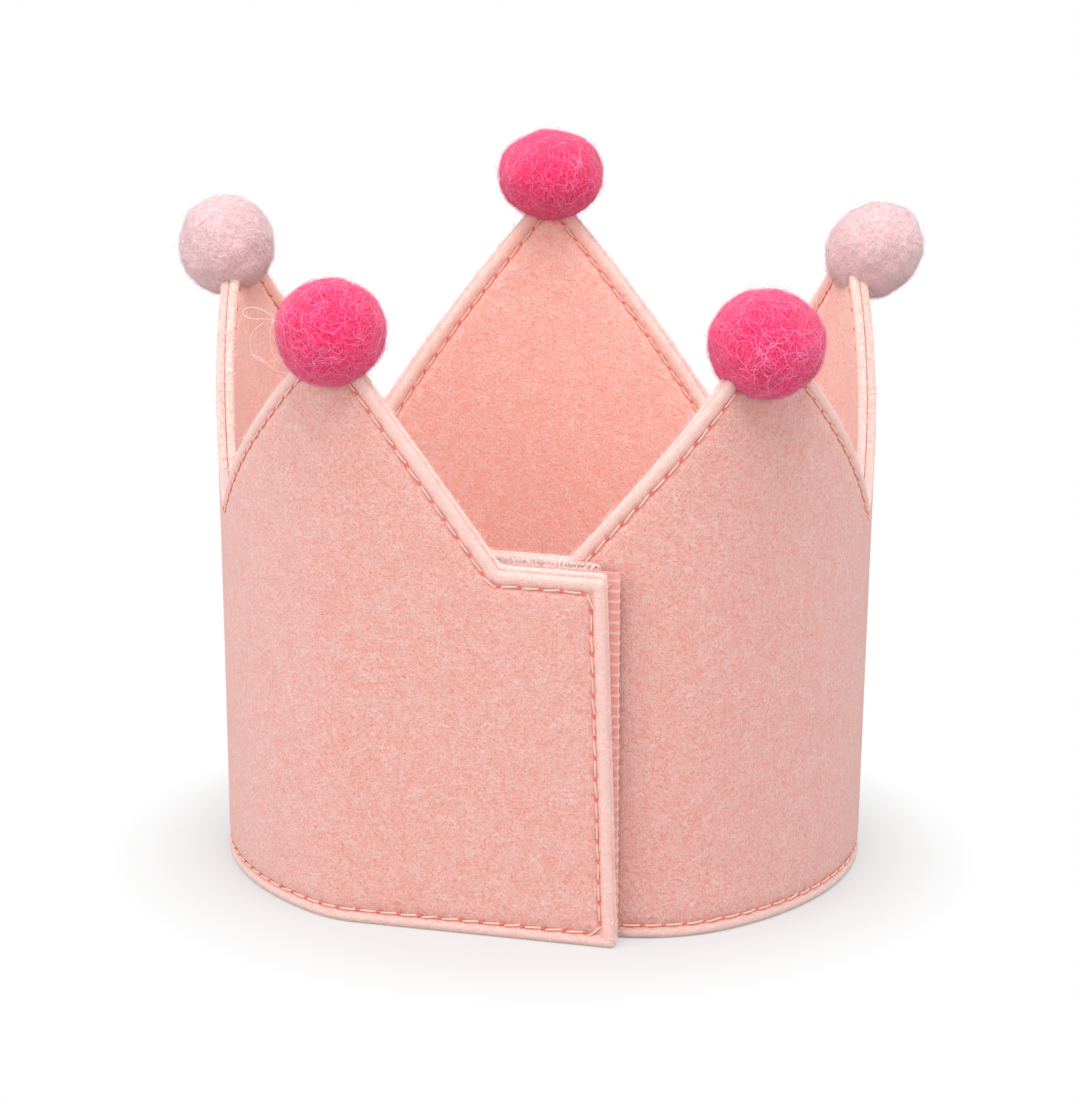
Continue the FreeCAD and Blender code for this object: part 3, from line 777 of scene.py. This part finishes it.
def wool_ball(name, tip, rise, proud, width, height, turn, lean, seed):
    """A ball at its tip, pressed, leant in the wall and dented."""
    place, facing = bend_flat([[tips[tip], TIP_TOPS[tip] + rise]], LAYER - proud)
    middle, face = Vector(place[0]), Vector(facing[0])
    sideways = Vector((0, 0, 1)).cross(face).normalized()
    axis = Matrix.Rotation(math.radians(turn), 3, face) @ Vector((0, 0, 1))
    axis = Matrix.Rotation(math.radians(lean), 3, sideways) @ axis
    made = bmesh.new()
    bmesh.ops.create_icosphere(made, subdivisions=6, radius=1.0)
    radius = width / 2 * MM
    stretch = height / width - 1
    for vertex in made.verts:
        ray = vertex.co.normalized()
        place = ray * radius + axis * (ray.dot(axis) * radius * stretch)
        dent = sum(noise.noise(ray * fineness + Vector(way) * seed) * depth
                   for way, fineness, depth in DENTS)
        vertex.co = middle + place + ray * (dent - PRESSED)
    mesh = bpy.data.meshes.new(name)
    made.to_mesh(mesh)
    made.free()
    mesh.shade_smooth()
    return linked(name, mesh), middle


# %% The tree that scatters fibres
FULL_TURN = 6.2832
WAVES, SWAY = 7.0, 0.07
TILT_SEED, REACH_SEED = 91, 33


def fibre_tree():
    tree, add, given = new_tree(
        "fibres_on_a_ball", "Ball",
        (("Density", 1.0e6), ("Ball radius", 0.0095), ("Fibre radius", 0.00004),
         ("Shortest", 0.2), ("Longest", 0.9), ("Lift", 0.0001), ("Bend", 1.0), ("Tilt", 0.12)),
        (("Seed", 1),), "Wool", "Fibres")
    spots = add("GeometryNodeDistributePointsOnFaces", {"distribute_method": "RANDOM"},
                Mesh=given["Ball"], Density=given["Density"], Seed=given["Seed"])
    line = add("GeometryNodeCurvePrimitiveLine")
    parts = add("GeometryNodeResampleCurve", {"mode": "COUNT"}, Curve=line.outputs[0], Count=7)
    share = add("GeometryNodeSplineParameter").outputs[0]
    centred = maths(tree, "SUBTRACT", share, 0.5)
    angle = maths(tree, "MULTIPLY", centred, given["Bend"])
    drop = maths(tree, "SUBTRACT", maths(tree, "COSINE", angle), 1.0)
    wave = maths(tree, "SINE", maths(tree, "MULTIPLY", centred, WAVES))
    arc = add("ShaderNodeCombineXYZ", X=maths(tree, "SINE", angle),
              Y=maths(tree, "MULTIPLY", wave, SWAY), Z=drop)
    sized = add("ShaderNodeVectorMath", {"operation": "SCALE"}, _0=arc.outputs[0],
                Scale=given["Ball radius"])
    bent = add("GeometryNodeSetPosition", Geometry=parts.outputs[0], Position=sized.outputs[0])
    ring = add("GeometryNodeCurvePrimitiveCircle", Resolution=3, Radius=given["Fibre radius"])
    hair = add("GeometryNodeCurveToMesh", **{"Curve": bent.outputs[0],
                                             "Profile Curve": ring.outputs[0]})
    smooth = add("GeometryNodeSetShadeSmooth", Geometry=hair.outputs[0])
    spin = random_between(tree, 0.0, FULL_TURN, given["Seed"])
    tilt = random_between(tree, maths(tree, "MULTIPLY", given["Tilt"], -1.0), given["Tilt"],
                          TILT_SEED)
    turned = turned_by(tree, spots.outputs[2], "Z", spin)
    tilted = turned_by(tree, turned, "Y", tilt)
    reach = random_between(tree, given["Shortest"], given["Longest"], REACH_SEED)
    stretch = add("ShaderNodeCombineXYZ", X=reach, Y=reach,
                  Z=maths(tree, "MULTIPLY", reach, reach))
    outward_by = add("ShaderNodeVectorMath", {"operation": "SCALE"}, _0=spots.outputs[1],
                     Scale=given["Lift"])
    lifted = add("GeometryNodeSetPosition", Geometry=spots.outputs[0],
                 Offset=outward_by.outputs[0])
    laid = add("GeometryNodeInstanceOnPoints", Points=lifted.outputs[0],
               Instance=smooth.outputs[0], Rotation=tilted, Scale=stretch.outputs[0])
    return close_tree(tree, laid, given["Wool"])


# %% Wool, as a material
def wool_material(name, body, deep, fibre):
    wool = Recipe(name)
    pores = wool.noise(1100.0, 4.0, 1.2)
    clumps = wool.noise(330.0, 2.0, 0.6)
    strands = wool.bands("X", 420.0, 30.0, 2.0)
    colour = wool.mix(wool.ramp(pores, 0.34, 0.62), deep, body)
    colour = wool.mix(wool.ramp(clumps, 0.4, 0.75, 0.0, 0.35), colour, deep)
    colour = wool.mix(wool.ramp(strands, 0.6, 1.0, 0.0, 0.5), colour, fibre)
    wool.shine(0.95, sheen=0.35, sheen_roughness=0.45, specular=0.1)
    wool.glow(0.3, 0.0015)
    rough = wool.bump(pores, 0.7, 0.0006)
    wool.finish(colour, wool.bump(strands, 0.5, 0.0003, rough))
    return wool.material


def fibre_material(name, light, dark):
    wool = Recipe(name)
    each = wool.node("ShaderNodeNewGeometry").outputs["Random Per Island"]
    wool.finish(wool.mix(wool.ramp(each, 0.45, 0.75), dark, light))
    wool.shine(0.8, sheen=0.2, specular=0.2)
    return wool.material


hot_wool = wool_material("hot_pink_wool", linear(250, 44, 112), linear(210, 8, 54),
                         linear(255, 112, 174))
pale_wool = wool_material("pale_pink_wool", linear(236, 204, 206), linear(225, 176, 182),
                          linear(243, 219, 221))
hot_fibre = fibre_material("hot_pink_fibre", linear(255, 176, 220), linear(254, 80, 154))
pale_fibre = fibre_material("pale_pink_fibre", linear(243, 223, 225), linear(233, 204, 207))

# %% Make the five balls and their fibres
FIBRES = {"Density": 1.7e6, "Fibre radius": 0.000068, "Shortest": 0.12, "Longest": 0.5,
          "Lift": 0.0002, "Bend": 1.0, "Tilt": 0.08}
HALO = {"Density": 4.0e5, "Ball radius": 0.0026, "Fibre radius": 0.000022, "Shortest": 0.4,
        "Longest": 1.0, "Lift": 0.0003, "Bend": 1.9, "Tilt": 0.8}
HALO_SEED = 40
BALL_MIDDLES = {}
fibres = fibre_tree()
for name, (tip, rise, proud, width, height, turn, lean, seed) in BALLS.items():
    hot = name in ("back", "front_left", "front_right")
    slot = "bright_pink_wool" if hot else "pale_pink_wool"
    stuff = hot_fibre if hot else pale_fibre
    piece, BALL_MIDDLES[name] = wool_ball("wool_ball_" + name, tip, rise, proud, width, height,
                                          turn, lean, seed)
    hairs = grown("wool_fibres_" + name, piece, fibres, {
        **FIBRES, "Ball radius": width / 2 * MM, "Seed": seed, "Wool": stuff})
    halo = grown("wool_halo_" + name, piece, fibres, {
        **HALO, "Seed": seed + HALO_SEED, "Wool": stuff})
    piece.data.materials.append(hot_wool if hot else pale_wool)
    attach(piece, "root")
    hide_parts("ball_" + name)
    for loose in (hairs, halo):
        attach(loose, "root")

# %% [markdown]
# ## The closure tapes
#
# The hook tape is clear moulded plastic, so its CAD form is right as it is and only
# needs its finish. The loop tape is a pile of fine pale loops.

# %% Finish the two tapes
clear = Recipe("clear_hook_tape")
up_the_tape = clear.node("ShaderNodeSeparateXYZ", Vector=clear.place).outputs[2]
rung = clear.maths("FRACT", clear.maths("DIVIDE", up_the_tape, HOOK_PITCH * MM))
clear.finish(clear.mix(clear.ramp(rung, 0.3, 0.2), linear(246, 172, 162), linear(252, 212, 206)),
             clear.bump(clear.noise(900.0, 2.0), 0.15, 0.0001))
clear.shine(0.3, specular=0.5)
clear.shader.inputs["Transmission Weight"].default_value = 0.2
clear.shader.inputs["IOR"].default_value = 1.45
pile = Recipe("loop_tape_pile")
loops = pile.noise(2800.0, 3.0, 2.0)
pile.finish(pile.mix(pile.ramp(loops, 0.35, 0.65), linear(252, 204, 196), linear(255, 230, 225)),
            pile.bump(loops, 0.9, 0.0005))
pile.shine(0.9, sheen=0.3)
for node, material in (("hook_tape", clear.material), ("loop_tape", pile.material)):
    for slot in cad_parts[node].material_slots:
        slot.material = material
    print("finished:", node)

# %% [markdown]
# ## The pile's loose loops and the tape's bright end
#
# Loops stand out past the top of the loop tape and show beside the flap. The tree that
# lays wool fibres grows them too, strongly bent, on a strip that is thrown away after.
# The hook tape's cut end shows a bright line where light comes through the clear plastic: one
# thin pale strand, a painted highlight.

# %% Strands and strips
def strands(name, lines, radius, stuff):
    """Single strands, each a smooth line through its points."""
    curve = bpy.data.curves.new(name, "CURVE")
    curve.dimensions = "3D"
    curve.bevel_depth = radius * MM
    curve.bevel_resolution = 1
    curve.use_fill_caps = True
    for line in lines:
        spline = curve.splines.new("NURBS")
        spline.points.add(len(line) - 1)
        for point, place in zip(spline.points, line):
            point.co = (*place, 1.0)
        spline.use_endpoint_u = True
        spline.order_u = min(4, len(line))
        spline.resolution_u = 6
    holder = linked(name, curve)
    bpy.context.view_layer.update()
    seen = holder.evaluated_get(bpy.context.evaluated_depsgraph_get())
    mesh = bpy.data.meshes.new_from_object(seen)
    bpy.data.objects.remove(holder)
    mesh.name = name
    mesh.materials.clear()
    mesh.materials.append(stuff)
    mesh.shade_smooth()
    piece = linked(name, mesh)
    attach(piece, "root")
    return piece


def flat_strip(name, rows, steps):
    """A strip of faces through rows of (start, end, up, depth), to grow fuzz on."""
    places = []
    for start, end, up, depth in rows:
        along = np.linspace(start, end, steps)
        places.append(bend_flat(np.stack([along, np.full(steps, up)], axis=1), depth)[0])
    faces = [(row * steps + n, row * steps + n + 1, (row + 1) * steps + n + 1,
              (row + 1) * steps + n) for row in range(len(rows) - 1) for n in range(steps - 1)]
    return linked(name, plain_mesh(name, np.vstack(places), [], faces))


# %% Grow the loops and lay the painted highlight on the tape's end
pile_end = UNDER_RUN + UNDER_TAB
pile_start = pile_end - TAPE_WIDTH
pile_top = UNDER_TOP - 1.0
FRINGE = 1.6
loop_stuff = fibre_material("pile_loop", linear(255, 240, 236), linear(255, 226, 220))
strip = flat_strip("strip", [(pile_start, pile_end, pile_top - FRINGE, -LOOP_PILE),
                             (pile_start, pile_end, pile_top, -LOOP_PILE),
                             (pile_start, pile_end, pile_top, 0.0)], 30)
pile_loops = grown("loop_tape_fuzz", strip, fibres, {
    "Density": 1.5e7, "Ball radius": 0.0008, "Fibre radius": 0.00005, "Shortest": 0.5,
    "Longest": 1.0, "Lift": 0.0008, "Bend": 4.4, "Tilt": 1.2, "Seed": 7, "Wool": loop_stuff})
bpy.data.objects.remove(strip)
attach(pile_loops, "root")
HIGHLIGHT_RADIUS, HIGHLIGHT_IN, HIGHLIGHT_BEHIND = 0.13, 0.1, 0.12
HIGHLIGHT_HEIGHTS = (1.2, 20.0, 45.0, 67.9)
tape_end = UNDER_TAB + FELT_RUN + FLAP + END_SLANT - HOOK_SETBACK
highlight_line, _ = bend_flat([[tape_end - HIGHLIGHT_IN, up] for up in HIGHLIGHT_HEIGHTS],
                         2 * LAYER + HIGHLIGHT_BEHIND)
# painted highlight: a near-white strand for the light that the clear tape's cut end gives off
edge_highlight = Recipe("painted_edge_highlight")
edge_highlight.finish(linear(255, 240, 236))
edge_highlight.shine(0.4)
edge = strands("hook_tape_edge_highlight", [highlight_line], HIGHLIGHT_RADIUS, edge_highlight.material)

# %% [markdown]
# ## Fuzz on the cut edges and stray wool
#
# Scissors leave the cut edge of felt hairy, and a wool ball sheds a few long loops. The
# same tree that scatters wool fibres grows the fuzz, on a strip along each cut edge that
# is thrown away afterwards. The few stray loops are given point by point.

# %% Grow the fuzz
ABOVE_TABLE = 1.5
BAND_STEP = 0.8


def cut_edge(name, corners, depths):
    """The cut edge of a layer above the table, as a band of faces that look outward."""
    line = rounded(corners, ROUNDS, BAND_STEP)
    count = len(line)
    places = np.vstack([bend_flat(line, depth)[0] for depth in depths])
    faces = []
    for row in range(len(depths) - 1):
        for n in range(count):
            after = (n + 1) % count
            if line[n, 1] > ABOVE_TABLE and line[after, 1] > ABOVE_TABLE:
                faces.append((row * count + n, row * count + after,
                              (row + 1) * count + after, (row + 1) * count + n))
    return linked(name, plain_mesh(name, places, [], faces))


FUZZ = {"Density": 2.4e6, "Ball radius": 0.0017, "Fibre radius": 0.000045, "Shortest": 0.4,
        "Longest": 1.0, "Lift": 0.0001, "Bend": 1.6, "Tilt": 0.9, "Seed": 17}
fuzz_stuff = fibre_material("felt_fuzz", linear(252, 226, 220), linear(248, 206, 198))
for name, corners, depths, slot in (
        ("outside", OUTER_CORNERS, (0.25, 1.5), "pink_felt"),
        ("lining", LINING_CORNERS, (LAYER + 0.1, 2 * LAYER - 0.25), "lining_felt")):
    band = cut_edge("band", corners, depths)
    fuzz = grown("felt_fuzz_" + name, band, fibres, {**FUZZ, "Wool": fuzz_stuff})
    bpy.data.objects.remove(band)
    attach(fuzz, "root")

# %% Lay the stray loops, as (right, up) from the ball's middle
STRAY = [
    [(-9.7, 2.4), (-10.8, 3.8), (-12.2, 4.5), (-13.9, 4.7), (-15.3, 4.0), (-14.8, 2.8),
     (-12.5, 2.3), (-10.4, 2.8), (-8.8, 2.0)],
    [(-9.6, 3.1), (-10.3, 1.0), (-10.5, -1.2), (-9.9, -4.0), (-9.0, -5.2)],
    [(-13.6, -3.8), (-11.8, -4.3), (-10.8, -5.7), (-9.2, -6.8), (-7.7, -7.0)],
    [(-11.5, 1.9), (-13.6, 0.5), (-14.1, -2.1), (-13.2, -4.7), (-11.1, -5.4), (-9.0, -4.6)],
]
TOWARDS_VIEWER = -1.5
STRAY_RADIUS = 0.045
middle = BALL_MIDDLES["front_left"]
stray = strands("stray_wool", [[middle + Vector((x, TOWARDS_VIEWER, z)) * MM for x, z in line]
                               for line in STRAY], STRAY_RADIUS, pale_fibre)
print("stray loops:", len(STRAY))

# %% [markdown]
# ## The table, the light and the camera
#
# The crown stands on a white table in soft light, most of it from above and in front
# and a little more from the left than from the right. The table is white to the camera
# and keeps only a faint shadow round the crown.

# %% Stage
WHITE_FORWARD = 7
WHITE_FROM, WHITE_TO, WHITE_LEAST = 0.056, 0.08, 0.4
white = Recipe("white_table")
white.finish(linear(190, 189, 188))
white.shine(0.9)
from_middle = white.node("ShaderNodeVectorMath", {"operation": "SUBTRACT"}, _0=white.place,
                         _1=tuple((RING_MIDDLE - [0, WHITE_FORWARD, 0]) * MM))
from_crown = white.node("ShaderNodeVectorMath", {"operation": "LENGTH"},
                        _0=from_middle.outputs["Vector"]).outputs["Value"]
glow = white.node("ShaderNodeEmission", Color=(1.0, 1.0, 1.0, 1.0), Strength=1.0)
rays = white.node("ShaderNodeLightPath").outputs
seen = white.maths("MAXIMUM", rays["Is Camera Ray"], white.maths(
    "MAXIMUM", rays["Is Glossy Ray"], rays["Is Transmission Ray"]))
white_out = white.ramp(from_crown, WHITE_FROM, WHITE_TO, WHITE_LEAST, 1.0)
blend = white.node("ShaderNodeMixShader", _0=white.maths("MULTIPLY", seen, white_out),
                   _1=white.shader.outputs[0], _2=glow.outputs[0])
white.join(white.tree.nodes["Material Output"].inputs[0], blend.outputs[0])
bpy.ops.mesh.primitive_plane_add(size=6.0, location=(0, 0, 0))
table = bpy.context.object
table.name = "white_table"
table.data.materials.append(white.material)
print("table:", table.name)

# %% The room and the lamps
world = bpy.data.worlds.new("soft_room")
bpy.context.scene.world = world
world.use_nodes = True
room = world.node_tree.nodes["Background"]
room.inputs["Color"].default_value = (1.0, 1.0, 1.0, 1.0)
ROOM_LIGHT = 0.78
paths = add_node(world.node_tree, "ShaderNodeLightPath").outputs
to_camera = maths(world.node_tree, "MAXIMUM", paths["Is Camera Ray"],
                  paths["Is Transmission Ray"])
strength = add_node(world.node_tree, "ShaderNodeMapRange", _0=to_camera, _3=ROOM_LIGHT, _4=1.0)
world.node_tree.links.new(strength.outputs[0], room.inputs["Strength"])
LAMP_SIZE = 0.8
LAMP_AIM = Vector((0, 0, 0.06))
for name, place, power in (("left_softbox", (-0.9, -0.5, 0.6), 4.4),
                           ("right_softbox", (0.9, -0.5, 0.6), 1.6),
                           ("top_softbox", (0.05, -0.5, 1.3), 14.5)):
    light = bpy.data.lights.new(name, "AREA")
    light.shape = "SQUARE"
    light.size = LAMP_SIZE
    light.energy = power
    lamp = linked(name, light)
    lamp.location = place
    lamp.rotation_euler = (LAMP_AIM - Vector(place)).to_track_quat("-Z", "Y").to_euler()
    print("%s: %.1f W" % (name, power))

# %% Camera
CAMERA_DISTANCE = 1033.6
CAMERA_RISE = math.radians(15.85)
CAMERA_TURN = math.radians(1.38)
CAMERA_ROLL = math.radians(0.46)
CAMERA_AIM = 58.0
SENSOR = 36.0
PHOTO_WIDTH = 1080.0
FOCAL_PIXELS = 5663.0
SHIFT_RIGHT, SHIFT_UP = -6.3, -9.1
aim = Vector((RING_MIDDLE[0], RING_MIDDLE[1], CAMERA_AIM)) * MM
level = math.cos(CAMERA_RISE)
towards = Vector((math.sin(CAMERA_TURN) * level, -math.cos(CAMERA_TURN) * level,
                  math.sin(CAMERA_RISE)))
eye = aim + towards * CAMERA_DISTANCE * MM
camera_data = bpy.data.cameras.new("photo_camera")
camera_data.sensor_fit = "HORIZONTAL"
camera_data.sensor_width = SENSOR
camera_data.lens = FOCAL_PIXELS * SENSOR / PHOTO_WIDTH
camera_data.shift_x = SHIFT_RIGHT / PHOTO_WIDTH
camera_data.shift_y = SHIFT_UP / PHOTO_WIDTH
camera_data.clip_start = 0.05
camera = linked("photo_camera", camera_data)
look = (aim - eye).to_track_quat("-Z", "Y").to_matrix()
camera.matrix_world = (Matrix.Translation(eye) @ look.to_4x4()
                       @ Matrix.Rotation(CAMERA_ROLL, 4, "Z"))
bpy.context.scene.camera = camera
bpy.context.scene.view_settings.view_transform = "Standard"
print("the camera stands at", [round(value, 3) for value in eye])
